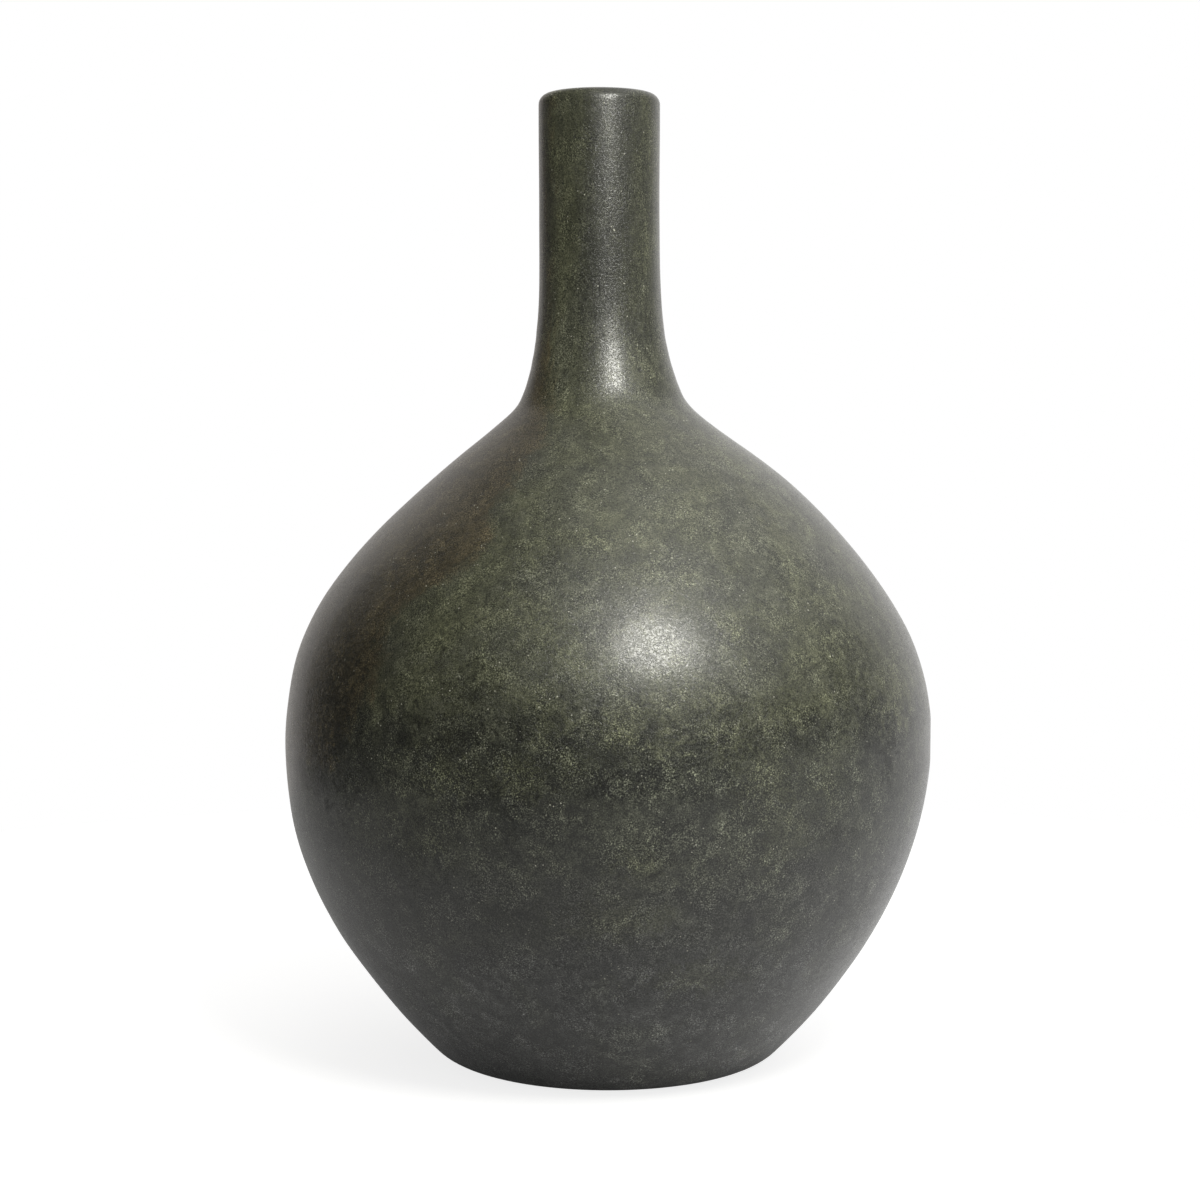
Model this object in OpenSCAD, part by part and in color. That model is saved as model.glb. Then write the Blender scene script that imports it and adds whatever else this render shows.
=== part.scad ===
// A bottle-shaped plaster vase: a clay body thrown in sections, under a coat of burnished plaster.
// One outline is drawn, the coat's. Every surface under it is that outline moved inwards by the
// layers over it, so the coat, the clay and the lining meet face to face all the way round.
// The neck stands a little to the left of the body's axis, as hand-set necks do.

/* [Overall] */
// Height from the table to the top of the lip
total_h = 450; // [430:1:480]
// Greatest diameter, at the belly
belly_d = 302; // [285:1:320]
// Height of the widest place above the table
belly_h = 150; // [138:1:160]

/* [Foot] */
// Diameter of the flat that the vase stands on
foot_d = 136; // [128:1:146]
// Radius of the round between the foot's flat and the wall
foot_round = 22; // [18:1:26]
// Rise of the wall where it leaves the foot's round, in degrees from level
foot_rise = 45; // [40:1:50]

/* [Shoulder] */
// Diameter where the shoulder's curve runs out into a straight slope
shoulder_d = 118; // [112:1:124]
// Height of that place above the table
shoulder_h = 290; // [280:1:300]
// Fall of the straight slope, in degrees from level
shoulder_fall = 37; // [34:1:40]

/* [Neck] */
// Outer diameter of the neck
neck_d = 56; // [53:1:62]
// How far the neck's axis lies to the left of the body's
neck_shift = 3.3; // [2:0.1:4]
// How far the flare spreads beyond the neck at its root
flare_reach = 16; // [14:1:19]
// Height of the flare from its root to the straight neck
flare_h = 76; // [68:1:84]
// Fall of the flare at its root, in degrees from level
flare_fall = 50; // [48:1:54]
// Radius of the lip's outer round
lip_round = 5; // [4:0.5:6]
// Radius of the round that leads into the mouth
mouth_round = 4; // [2:0.5:4.5]

/* [Layers] */
// Thickness of the plaster coat
coat_t = 3; // [2.5:0.5:3.5]
// Thickness of the clay wall
clay_t = 7; // [6.5:0.5:8]
// Thickness of the lining, and of the coat where it turns into the mouth
lining_t = 1; // [0.8:0.1:1.6]
// Thickness of the clay disc that closes the foot
slab_t = 10; // [8:1:12]
// How far the plaster coat turns down into the mouth
turn_in = 30; // [20:1:40]

/* [Seams] */
// Height over which two sections of clay lap
lap_h = 8; // [6:1:12]
// Height of the seam in the neck above the flare's root
neck_seam_rise = 26; // [22:1:34]
// Width of a seam coil at the surface that it is pressed into
coil_w = 8; // [6:1:10]
// Depth of a seam coil
coil_deep = 2.5; // [2:0.5:3]
// Width of the step at the slab's edge
step_w = 6; // [4:1:8]
// Thickness of the slab's wider lower part
step_t = 5; // [3:1:6]
// How far the slab reaches past the felt's recess
slab_edge = 2; // [1:0.5:3]

/* [Felt] */
// Diameter of the felt pad
felt_d = 120; // [90:1:122]
// Thickness of the felt pad
felt_t = 4; // [3.5:0.5:6]
// Gap between the felt pad and the edge of the coat around it
felt_gap = 0.5; // [0.3:0.1:1]

/* [Hidden] */
$fn = 96;

// Straight pieces in each long curve, and in each small round
curve_steps = 18;
flare_steps = 10;
round_steps = 6;
// How far a cut runs past what it cuts
overrun = 5;
// Points of a line closer than this to its end count as the end
hair = 0.01;
// How far the flare's line runs on into the shoulder past its root
root_reach = 18;

// How much of a curve's span its tangents hold at each end
lower_pull_share = [0.25, 0.40];
upper_pull_share = [0.28, 0.52];
flare_pull_share = [0.08, 0.70];

coat_colour = [0.31, 0.32, 0.28];
clay_colour = [0.66, 0.36, 0.24];
coil_colour = [0.55, 0.29, 0.19];
lining_colour = [0.24, 0.22, 0.20];
felt_colour = [0.16, 0.15, 0.14];

// Depths of the surfaces below the coat's own
clay_outside = coat_t;
clay_middle = coat_t + clay_t / 2;
clay_inside = coat_t + clay_t;
lining_inside = clay_inside + lining_t;

// Heights that follow the foot upwards
clay_z = felt_t;
coat_z = clay_z - coat_t;
step_z = clay_z + step_t;
floor_z = clay_z + slab_t;
lining_z = floor_z + lining_t;

// Radii at the foot: the felt, then the slab's lower and upper parts
foot_r = foot_d / 2;
slab_r = felt_d / 2 + felt_gap + slab_edge;
slab_top_r = slab_r - step_w;

// The neck's radii and heights
neck_r = neck_d / 2;
clay_bore_r = neck_r - clay_inside;
mouth_r = neck_r - lining_inside;
turn_z = total_h - turn_in;
rim_z = total_h - coat_t;

// Seams: where the outer edge of each lap lies
belly_seam_z = belly_h - lap_h / 2;

// Points of the outline: where the foot's round ends, the belly, the end of the shoulder's curve
foot_top = [foot_r + foot_round * sin(foot_rise), coat_z + foot_round * (1 - cos(foot_rise))];
belly = [belly_d / 2, belly_h];
shoulder = [shoulder_d / 2, shoulder_h];
fall_line = [-cos(shoulder_fall), sin(shoulder_fall)];

// The slope runs on under the neck until it is as narrow as the mouth
slope_end = shoulder + fall_line * (shoulder[0] - mouth_r) / cos(shoulder_fall);

// The flare's root stands on the slope, and its top is the foot of the straight neck,
// no higher than the place where the coat turned into the mouth ends
root_run = shoulder[0] - neck_r - flare_reach;
root = shoulder + fall_line * root_run / cos(shoulder_fall);
root_line = [-cos(flare_fall), sin(flare_fall)];
flare_top = [neck_r, min(root[1] + flare_h, turn_z)];
neck_seam_z = root[1] + neck_seam_rise;

// A curve between two points, held by the tangents at its ends
function curve(from, from_line, to, to_line, share) =
    let (span = norm(to - from))
    [from, from + from_line * span * share[0], to - to_line * span * share[1], to];
function on_curve(c, t) =
    (1 - t) ^ 3 * c[0] + 3 * (1 - t) ^ 2 * t * c[1] + 3 * (1 - t) * t ^ 2 * c[2] + t ^ 3 * c[3];
function along_curve(c, t) =
    (1 - t) ^ 2 * (c[1] - c[0]) + 2 * (1 - t) * t * (c[2] - c[1]) + t ^ 2 * (c[3] - c[2]);

// The outward direction of a line that climbs, and a curve moved inwards by a depth
function outward(line) = [line[1], -line[0]] / norm(line);
function curve_at(c, deep, steps) =
    [for (i = [0:steps]) on_curve(c, i / steps) - deep * outward(along_curve(c, i / steps))];
function arc(centre, r, from, to, steps) =
    [for (i = [0:steps]) let (a = from + (to - from) * i / steps) centre + r * [cos(a), sin(a)]];
function rest_of(points) = [for (i = [1:len(points) - 1]) points[i]];
function backwards(points) = [for (i = [len(points) - 1:-1:0]) points[i]];

// The radius of a climbing line at a height, and the part of it between two heights
function radius_at(points, z) = lookup(z, [for (p = points) [p[1], p[0]]]);
function between(points, low, high) = concat(
    [[radius_at(points, low), low]],
    [for (p = points) if (p[1] > low + hair && p[1] < high - hair) p],
    [[radius_at(points, high), high]]);

lower_curve = curve(foot_top, [cos(foot_rise), sin(foot_rise)], belly, [0, 1], lower_pull_share);
upper_curve = curve(belly, [0, 1], shoulder, fall_line, upper_pull_share);
flare_curve = curve(root, root_line, flare_top, [0, 1], flare_pull_share);

// The body's outline from the foot's flat to the end of the slope, moved inwards by a depth
function body_line(deep) = concat(
    arc([foot_r, coat_z + foot_round], foot_round - deep, -90, foot_rise - 90, round_steps),
    rest_of(curve_at(lower_curve, deep, curve_steps)),
    rest_of(curve_at(upper_curve, deep, curve_steps)),
    [slope_end - deep * outward(fall_line)]);

// The neck's outline from inside the shoulder up to a height, moved inwards by a depth
function neck_line(deep, top) = concat(
    [root - root_reach * root_line - deep * outward(root_line)],
    curve_at(flare_curve, deep, flare_steps),
    [[neck_r - deep, top]]);

// The lip's outer round, moved inwards by a depth
function lip_arc(deep) =
    arc([neck_r - lip_round, total_h - lip_round], lip_round - deep, 0, 90, round_steps);

// A seam coil's outline below the surface that it is pressed into, from one step to another;
// its two ends are left out, because they lie on that surface
coil_mid = round_steps;
coil_last = 2 * round_steps - 1;
function coil_angle(i) = 180 * i / (2 * round_steps) - 90;
function coil_arc(r, z, first, last) = [
    for (i = [first:last]) [r - coil_deep * cos(coil_angle(i)), z + coil_w / 2 * sin(coil_angle(i))]];
function floor_arc(first, last) = [
    for (i = [first:last])
    [slab_top_r - coil_w / 2 * sin(coil_angle(i)), floor_z - coil_deep * cos(coil_angle(i))]];

function closed_to_axis(points) = concat(
    [[0, points[0][1]]], points, [[0, points[len(points) - 1][1]]]);

module turned(points) {
    rotate_extrude() polygon(points);
}

module on_neck_axis() {
    translate([-neck_shift, 0, 0]) children();
}

// The body's solid form below the surface at a depth, from a height upwards
module body_form(deep, low) {
    line = body_line(deep);
    turned(closed_to_axis(between(line, low, line[len(line) - 1][1])));
}

// The neck's solid form below the surface at a depth, up to a height
module neck_form(deep, top) {
    on_neck_axis() turned(closed_to_axis(neck_line(deep, top)));
}

module plaster_coat() {
    mouth_arc = arc([mouth_r + mouth_round, total_h - mouth_round], mouth_round, 90, 180, round_steps);
    hollow_z = turn_z - overrun;
    lip = concat(
        neck_line(0, total_h - lip_round), rest_of(lip_arc(0)), mouth_arc,
        [[mouth_r, hollow_z], [0, hollow_z], [0, neck_line(0, total_h)[0][1]]]);
    clay_rim = concat(
        neck_line(clay_outside, total_h - lip_round), rest_of(lip_arc(clay_outside)),
        [[clay_bore_r, rim_z], [clay_bore_r, turn_z], [0, turn_z], [0, neck_line(clay_outside, total_h)[0][1]]]);
    color(coat_colour) difference() {
        union() {
            turned(closed_to_axis(body_line(0)));
            on_neck_axis() turned(lip);
        }
        turned(closed_to_axis(body_line(clay_outside)));
        on_neck_axis() turned(clay_rim);
        translate([0, 0, coat_z - overrun]) cylinder(r = felt_d / 2 + felt_gap, h = coat_t + 2 * overrun);
    }
}

module base_slab() {
    color(clay_colour) turned(concat(
        [[0, clay_z], [slab_r, clay_z], [slab_r, step_z], [slab_top_r, step_z]],
        floor_arc(coil_mid, coil_last),
        [[slab_top_r - coil_w / 2, floor_z], [0, floor_z]]));
}

module lower_bowl() {
    outside = between(body_line(clay_outside), clay_z, belly_seam_z - coil_w / 2);
    tongue = between(body_line(clay_middle), belly_seam_z, belly_seam_z + lap_h);
    inside = between(body_line(clay_inside), floor_z, belly_seam_z + lap_h);
    seam_r = radius_at(body_line(clay_outside), belly_seam_z);
    color(clay_colour) turned(concat(
        [[slab_r, clay_z]], outside,
        coil_arc(seam_r, belly_seam_z, 1, coil_mid),
        tongue, backwards(inside),
        [[slab_top_r + coil_w / 2, floor_z]],
        floor_arc(1, coil_mid),
        [[slab_top_r, step_z], [slab_r, step_z]]));
}

module upper_shoulder() {
    clay_line = body_line(clay_outside);
    top_z = clay_line[len(clay_line) - 1][1];
    seam_r = radius_at(clay_line, belly_seam_z);
    collar_line = neck_line(clay_outside, total_h);
    collar_top = neck_seam_z + lap_h;
    socket = between(neck_line(clay_middle, total_h), neck_seam_z, collar_top + overrun);
    collar_seam_r = radius_at(collar_line, collar_top);
    color(clay_colour) difference() {
        union() {
            turned(concat(
                backwards(between(body_line(clay_middle), belly_seam_z, belly_seam_z + lap_h)),
                coil_arc(seam_r, belly_seam_z, coil_mid, coil_last),
                between(clay_line, belly_seam_z + coil_w / 2, top_z),
                [[0, top_z], [0, belly_seam_z + lap_h]]));
            on_neck_axis() turned(closed_to_axis(concat(
                between(collar_line, collar_line[0][1], collar_top - coil_w / 2),
                coil_arc(collar_seam_r, collar_top, 1, coil_mid))));
        }
        body_form(clay_inside, belly_seam_z);
        neck_form(clay_inside, collar_top + overrun);
        on_neck_axis() turned(closed_to_axis(socket));
    }
}

module neck_tube() {
    collar_top = neck_seam_z + lap_h;
    outside = between(neck_line(clay_outside, total_h), collar_top + coil_w / 2, total_h - lip_round);
    spigot = between(neck_line(clay_middle, total_h), neck_seam_z, collar_top);
    bore = between(neck_line(clay_inside, total_h), neck_seam_z, rim_z);
    seam_r = radius_at(neck_line(clay_outside, total_h), collar_top);
    color(clay_colour) on_neck_axis() turned(concat(
        spigot,
        coil_arc(seam_r, collar_top, coil_mid, coil_last), outside, rest_of(lip_arc(clay_outside)),
        backwards(bore)));
}

module base_seam_coil() {
    color(coil_colour) turned(concat(
        [[slab_top_r + coil_w / 2, floor_z]], floor_arc(1, coil_last),
        [[slab_top_r - coil_w / 2, floor_z]]));
}

module belly_seam_coil() {
    seam_r = radius_at(body_line(clay_outside), belly_seam_z);
    skin = between(body_line(clay_outside), belly_seam_z - coil_w / 2, belly_seam_z + coil_w / 2);
    color(coil_colour) turned(concat(skin, backwards(coil_arc(seam_r, belly_seam_z, 1, coil_last))));
}

module neck_seam_coil() {
    collar_top = neck_seam_z + lap_h;
    line = neck_line(clay_outside, total_h);
    seam_r = radius_at(line, collar_top);
    skin = between(line, collar_top - coil_w / 2, collar_top + coil_w / 2);
    color(coil_colour) on_neck_axis()
        turned(concat(skin, backwards(coil_arc(seam_r, collar_top, 1, coil_last))));
}

module inner_lining() {
    color(lining_colour) difference() {
        union() {
            body_form(clay_inside, floor_z);
            neck_form(clay_inside, turn_z);
        }
        body_form(lining_inside, lining_z);
        neck_form(lining_inside, turn_z + overrun);
    }
}

module felt_pad() {
    color(felt_colour) cylinder(r = felt_d / 2, h = felt_t);
}

plaster_coat();
base_slab();
lower_bowl();
upper_shoulder();
neck_tube();
base_seam_coil();
belly_seam_coil();
neck_seam_coil();
inner_lining();
felt_pad();
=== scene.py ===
from bisect import bisect_right
from math import atan2, cos, pi, radians, sin, sqrt, tan

import bmesh
import bpy
from bpy.props import FloatProperty, FloatVectorProperty, IntProperty, PointerProperty
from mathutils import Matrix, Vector, noise


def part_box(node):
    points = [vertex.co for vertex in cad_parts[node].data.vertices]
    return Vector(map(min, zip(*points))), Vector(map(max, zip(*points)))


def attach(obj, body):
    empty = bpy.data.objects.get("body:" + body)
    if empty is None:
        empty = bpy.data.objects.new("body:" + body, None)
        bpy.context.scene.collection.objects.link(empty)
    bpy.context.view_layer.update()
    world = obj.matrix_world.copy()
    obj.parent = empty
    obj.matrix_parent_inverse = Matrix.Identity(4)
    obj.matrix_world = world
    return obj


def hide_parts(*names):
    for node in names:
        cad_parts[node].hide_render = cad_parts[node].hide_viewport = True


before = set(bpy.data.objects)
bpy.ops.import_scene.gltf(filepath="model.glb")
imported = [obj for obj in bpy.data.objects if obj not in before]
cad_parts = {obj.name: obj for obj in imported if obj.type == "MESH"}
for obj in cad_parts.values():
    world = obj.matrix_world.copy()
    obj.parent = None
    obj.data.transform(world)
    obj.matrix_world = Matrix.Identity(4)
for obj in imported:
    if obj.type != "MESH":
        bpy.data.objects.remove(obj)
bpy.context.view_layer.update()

bl_info = {
    "name": "Plaster Bottle Vase",
    "version": (1, 0, 0),
    "blender": (4, 5, 0),
    "location": "3D View > Sidebar > Vase",
    "description": "Builds a clay bottle vase under a coat of dark burnished plaster",
    "category": "Object",
}

# Millimetres in a metre, and metres in a millimetre
PER_METRE = 1000.0
MM = 0.001

# The object's box as the frame gives it, and the two pieces that are made again here
COAT_LOW, COAT_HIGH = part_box("plaster_coat")
FELT_LOW, FELT_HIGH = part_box("felt_pad")
LINING_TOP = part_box("inner_lining")[1].z

# The coat's skin stays this far inside its box
BOX_MARGIN = 0.02 * MM
GREATEST_REACH = min(COAT_HIGH.x, COAT_HIGH.y) - BOX_MARGIN


def length(label, description, default):
    """A size in metres that a user can change."""
    return FloatProperty(
        name=label, description=description, default=default, unit="LENGTH", precision=4)


def slope(label, description, degrees):
    """An angle that a user can change."""
    return FloatProperty(
        name=label, description=description, default=radians(degrees), subtype="ANGLE")


def share(label, description, default):
    """A share from nought to one that a user can change."""
    return FloatProperty(
        name=label, description=description, default=default, min=0, max=1, subtype="FACTOR")


def colour(label, description, default):
    """A colour that a user can change."""
    return FloatVectorProperty(
        name=label, description=description, default=default, size=3, min=0, max=1, subtype="COLOR")


class VaseForm(bpy.types.PropertyGroup):
    """The sizes of the turned form, which the coat's outer skin follows."""

    belly_radius: length("Belly radius", "Greatest radius of the body", COAT_HIGH.x)
    belly_height: length("Belly height", "Height of the widest ring", 0.150)
    foot_radius: length("Foot radius", "Radius of the flat under the foot", 0.068)
    foot_round: length("Foot round", "Radius of the round between the flat and the wall", 0.022)
    foot_rise: slope("Foot rise", "Rise of the wall where it leaves the foot's round", 45)
    shoulder_radius: length("Shoulder radius", "Radius where the shoulder runs out straight", 0.059)
    shoulder_height: length("Shoulder height", "Height where the shoulder runs out straight", 0.290)
    shoulder_fall: slope("Shoulder fall", "Fall of the straight slope under the neck", 37)
    neck_radius: length("Neck radius", "Outer radius of the neck", 0.028)
    flare_reach: length("Flare reach", "How far the flare spreads beyond the neck", 0.016)
    flare_height: length("Flare height", "Height of the flare above its root", 0.076)
    flare_fall: slope("Flare fall", "Fall of the flare at its root", 50)
    lip_round: length("Lip round", "Radius of the lip's outer round", 0.005)
    mouth_radius: length("Mouth radius", "Radius of the bore in the neck", 0.017)
    mouth_round: length("Mouth round", "Radius of the round that leads into the mouth", 0.004)
    neck_offset: length("Neck offset", "How far the neck's bore stands to the left", 0.0033)
    coat_thickness: length("Coat thickness", "Thickness of the plaster coat", 0.003)
    turn_in_thickness: length("Turned edge", "Thickness of the coat inside the mouth", 0.001)
    turn_in_height: length("Turn-in height", "Height where the coat ends inside the mouth", LINING_TOP)
    felt_gap: length("Felt gap", "Gap between the felt and the coat around it", 0.0005)


class HandWork(bpy.types.PropertyGroup):
    """How far hand work takes the coat's skin away from the turned form."""

    root_softness: length("Root softness", "How softly the neck flows into the shoulder", 0.006)
    lean: length("Lean", "How much further to the left than its bore the neck's skin stands", 0.00045)
    lean_start: length("Lean start", "Height where the neck starts to lean to the left", 0.280)
    lean_end: length("Lean end", "Height where the neck stands upright again", 0.352)
    sway: length("Sway", "Depth of the broad swells of the wall", 0.0003)
    sway_size: length("Sway size", "Width of the broad swells", 0.060)
    press: length("Press", "Depth of the flats left by the burnishing stone", 0.00009)
    press_size: length("Press size", "Width of those flats", 0.016)
    segments: IntProperty(name="Segments", description="Steps round the axis", default=256, min=32)


class PlasterLook(bpy.types.PropertyGroup):
    """Colours and finish of the burnished coat."""

    olive: colour("Olive plaster", "Green-grey clouds of the upper coat", (0.0748, 0.0780, 0.0470))
    slate: colour("Slate plaster", "Blue-grey clouds of the upper coat", (0.0672, 0.0697, 0.0485))
    low: colour("Low plaster", "Grey of the coat below the belly", (0.042, 0.043, 0.037))
    foot: colour("Foot plaster", "Paler grey of the coat near the foot", (0.061, 0.062, 0.060))
    band: colour("Belly band", "Dark first lift of plaster round the belly", (0.033, 0.035, 0.0258))
    moss: colour("Moss", "Olive clouds in the lower coat", (0.053, 0.056, 0.038))
    flank: colour("Brown flank", "Brown-grey plaster down the left side", (0.057, 0.047, 0.026))
    # Also the colour of the pale marks, which are partly painted light
    patch: colour("Patch", "Olive patches where the second lift thins out", (0.078, 0.082, 0.046))
    # Also the colour of the dark marks, which are partly painted shade
    stain: colour("Stain", "Nearly black stains", (0.014, 0.015, 0.012))
    speck: colour("Speck", "Grains of marble and mica", (0.60, 0.59, 0.49))
    gloss: share("Burnish", "Roughness of the burnished skin", 0.158)
    wax_roughness: share("Wax roughness", "Roughness of the buffed wax", 0.50)
    wax: share("Wax", "How much of the coat the wax covers", 0.95)


class ClayLook(bpy.types.PropertyGroup):
    """Colours of the fired clay, the glaze inside and the felt."""

    clay: colour("Clay", "Fired terracotta", (0.39, 0.12, 0.052))
    clay_pale: colour("Pale clay", "Lighter streaks in the terracotta", (0.50, 0.20, 0.10))
    coil: colour("Coil clay", "Clay pressed into the seams", (0.26, 0.075, 0.034))
    glaze: colour("Glaze", "Sealing glaze inside", (0.047, 0.040, 0.033))
    felt: colour("Felt", "Wool felt under the foot", (0.022, 0.020, 0.018))


class Studio(bpy.types.PropertyGroup):
    """The camera and the light, placed as in a product picture."""

    camera_distance: length("Camera distance", "From the vase's axis to the camera", 1.100)
    camera_height: length("Camera height", "Height of the camera above the floor", 0.296)
    camera_side: length("Camera side", "How far the camera stands to the left", 0.0036)
    camera_tilt: slope("Camera tilt", "How far the camera looks down", 4.18)
    lens: FloatProperty(name="Lens", description="Focal length in millimetres", default=70.4)
    key_width: length("Key width", "Width of the softbox", 0.25)
    key_height: length("Key height", "Height of the softbox", 0.265)
    key_power: FloatProperty(
        name="Key power", description="Power of the softbox", default=3.05, unit="POWER")
    floor_radius: length("Floor radius", "Radius of the pale floor", 0.75)


SETTINGS = (
    ("vase_form", VaseForm), ("vase_hand", HandWork), ("vase_plaster", PlasterLook),
    ("vase_clay", ClayLook), ("vase_studio", Studio),
)

# Swells left by the hand: heights in millimetres, with how far the wall stands out there
LEFT_SWELLS = (
    (0, -0.3), (24, -0.4), (44, 0.0), (63, 1.0), (92, 1.3), (111, 1.0), (128, 0.1),
    (150, -0.3), (172, -0.2), (192, 0.9), (215, 1.3), (250, 0.6), (264, 0.4), (294, 1.5),
    (308, 0.3), (340, -0.7), (372, 0), (450, 0.3),
)
RIGHT_SWELLS = (
    (0, -0.6), (24, -0.6), (44, -0.9), (63, -0.8), (92, -0.6), (130, -0.1), (150, 0.3),
    (168, 0.4), (200, 0.5), (222, -0.1), (245, 0.2), (270, 1.6), (282, 1.0), (304, -1.6),
    (322, -0.9), (346, -0.2), (385, 0), (450, 0),
)

# Marks on the vase's front, partly painted light and shade, in millimetres: across, height, half width,
# half height; then their strength
PALE_MARKS_AND_PAINTED_LIGHT = (
    (-26, 176, 5, 5, 0.6), (4, 170, 8, 5, 0.7), (-38, 151, 12, 9, 0.8), (-70, 150, 14, 12, 0.7),
    (-59, 180, 6, 5, 0.5), (54, 164, 11, 8, 0.7), (61, 184, 6, 4, 0.6), (90, 180, 8, 6, 0.7),
    (-79, 182, 10, 8, 0.5), (13, 117, 10, 7, 0.6), (-75, 124, 12, 9, 0.6),
    (100, 166, 8, 6, 0.5), (-6, 88, 14, 3, 0.4), (87, 157, 10, 8, 0.4),
    (-88, 138, 34, 26, 0.35), (72, 127, 14, 12, 0.6), (38, 64, 20, 8, 0.5), (2, 92, 20, 8, 0.5),
    (-73, 188, 18, 12, 0.8), (28, 184, 18, 9, 0.7), (-36, 151, 14, 7, 0.5),
    (-77, 166, 12, 7, 0.4), (64, 152, 14, 14, 0.7), (-54, 195, 8, 9, 0.7),
    (-70, 207, 8, 12, 0.8), (-103, 192, 9, 10, 0.8), (-55, 152, 8, 8, 0.5),
    (77, 178, 10, 8, 0.8), (92, 150, 9, 16, 0.5), (-14, 158, 8, 8, 0.35),
)
DARK_MARKS_AND_PAINTED_SHADE = (
    (-23, 152, 3, 2.5, 1.0), (13, 155, 9, 2.5, 1.0), (-4, 149, 9, 2.5, 1.0),
    (-45, 140, 12, 5, 0.8), (-85, 173, 4, 8, 0.45), (-80, 156, 3, 12, 0.4),
    (-110, 142, 6, 8, 0.6), (13, 178, 28, 5, 0.25), (71, 172, 38, 5, 0.15),
    (122, 156, 6, 13, 0.5), (-53, 188, 11, 8, 0.25), (98, 123, 12, 4, 0.3),
    (-23, 240, 4, 4, 0.4), (-8, 209, 5, 5, 0.3), (-37, 178, 16, 6, 0.5), (55, 178, 12, 6, 0.3),
    (-78, 117, 15, 10, 0.3), (-119, 176, 12, 30, 0.65), (-49, 236, 14, 18, 0.15),
    (101, 196, 12, 20, 0.4), (42, 160, 14, 10, 0.38), (20, 167, 10, 6, 0.35),
    (-70, 128, 14, 14, 0.4), (-45, 134, 16, 12, 0.35), (111, 82, 16, 22, 0.25),
    (-10, 208, 10, 8, 0.2), (-5, 182, 14, 6, 0.25), (17, 124, 10, 8, 0.3),
    (-75, 243, 10, 8, 0.3), (78, 235, 10, 12, 0.3), (-28, 170, 9, 7, 0.4),
    (-12, 209, 12, 9, 0.25),
)

# Shares of a curve's span that its tangents hold, at its lower and upper ends
LOWER_PULL = (0.25, 0.40)
UPPER_PULL = (0.28, 0.52)
FLARE_PULL = (0.08, 0.70)

# Steps along the coat's skin and its inner wall, and along their rounds and necks
SKIN_STEPS = 60
WALL_STEPS = 40
FOOT_STEPS = 12
LIP_STEPS = 8
NECK_STEPS = 84
INNER_FOOT_STEPS = 6
INNER_LIP_STEPS = 4
INNER_NECK_STEPS = 30

# How much the burnishing flats are drawn upwards on the neck, and how much deeper they are there
NECK_DRAW = 0.6
NECK_PRESS = 0.9


# Outlines, as lists of (radius, height)

def curve(start, start_line, end, end_line, pull, steps):
    """Points of a curve between two places, held by the tangents at its ends."""
    start, end = Vector(start), Vector(end)
    span = (end - start).length
    near = start + Vector(start_line) * span * pull[0]
    far = end - Vector(end_line) * span * pull[1]
    points = []
    for step in range(steps + 1):
        t = step / steps
        u = 1 - t
        points.append(u * u * u * start + 3 * u * u * t * near + 3 * u * t * t * far + t * t * t * end)
    return points


def arc(centre, radius, first, last, steps):
    """Points of a round, between two angles in degrees."""
    turns = [radians(first + (last - first) * step / steps) for step in range(steps + 1)]
    return [Vector((centre[0] + radius * cos(turn), centre[1] + radius * sin(turn))) for turn in turns]


def moved_in(points, depth):
    """A climbing line moved inwards, square to itself."""
    moved = []
    for index, point in enumerate(points):
        before = points[max(index - 1, 0)]
        after = points[min(index + 1, len(points) - 1)]
        along = (after - before).normalized()
        moved.append(point - depth * Vector((along.y, -along.x)))
    return moved


def radius_at(points, height):
    """The radius of a climbing line at a height."""
    place = bisect_right(points, height, key=lambda point: point[1])
    if place == 0 or place == len(points):
        return points[min(place, len(points) - 1)][0]
    below, above = points[place - 1], points[place]
    part = (height - below[1]) / (above[1] - below[1])
    return below[0] + part * (above[0] - below[0])


def body_line(form, depth, steps):
    """The body's outline above the foot's round, moved inwards, and on to a point on the axis."""
    rise, fall = form.foot_rise, form.shoulder_fall
    foot_top = (
        form.foot_radius + form.foot_round * sin(rise),
        COAT_LOW.z + form.foot_round * (1 - cos(rise)))
    belly = (form.belly_radius, form.belly_height)
    shoulder = (form.shoulder_radius, form.shoulder_height)
    falling = (-cos(fall), sin(fall))
    lower = curve(foot_top, (cos(rise), sin(rise)), belly, (0, 1), LOWER_PULL, steps)
    upper = curve(belly, (0, 1), shoulder, falling, UPPER_PULL, steps)
    top = Vector((0, form.shoulder_height + form.shoulder_radius * tan(fall)))
    return moved_in(lower + upper[1:] + [top], depth)


def neck_line(form, depth, steps):
    """The neck's outline from inside the shoulder to its top, moved inwards."""
    fall = form.shoulder_fall
    run = form.shoulder_radius - form.neck_radius - form.flare_reach
    root = Vector((form.shoulder_radius - run, form.shoulder_height + run * tan(fall)))
    rising = Vector((-cos(form.flare_fall), sin(form.flare_fall)))
    top = (form.neck_radius, root.y + form.flare_height)
    flare = curve(root, rising, top, (0, 1), FLARE_PULL, steps)
    under = root - rising * form.flare_reach
    return moved_in([under] + flare + [Vector((form.neck_radius, COAT_HIGH.z))], depth)


def smooth(value, low, high):
    """Nought below one value, one above another, with a soft passage between them."""
    part = min(max((value - low) / (high - low), 0), 1)
    return part * part * (3 - 2 * part)


def ring_reach(radius, offset, angle):
    """How far a circle reaches from the axis towards one side, when it stands to the left."""
    across = offset * sin(angle)
    return sqrt(max(radius * radius - across * across, 0)) - offset * cos(angle)


def soft_greater(first, second, softness):
    """The greater of two radii, with a soft cove where they are alike."""
    near = max(softness - abs(first - second), 0)
    return max(first, second) + (near * near / (4 * softness) if softness else 0)


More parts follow.
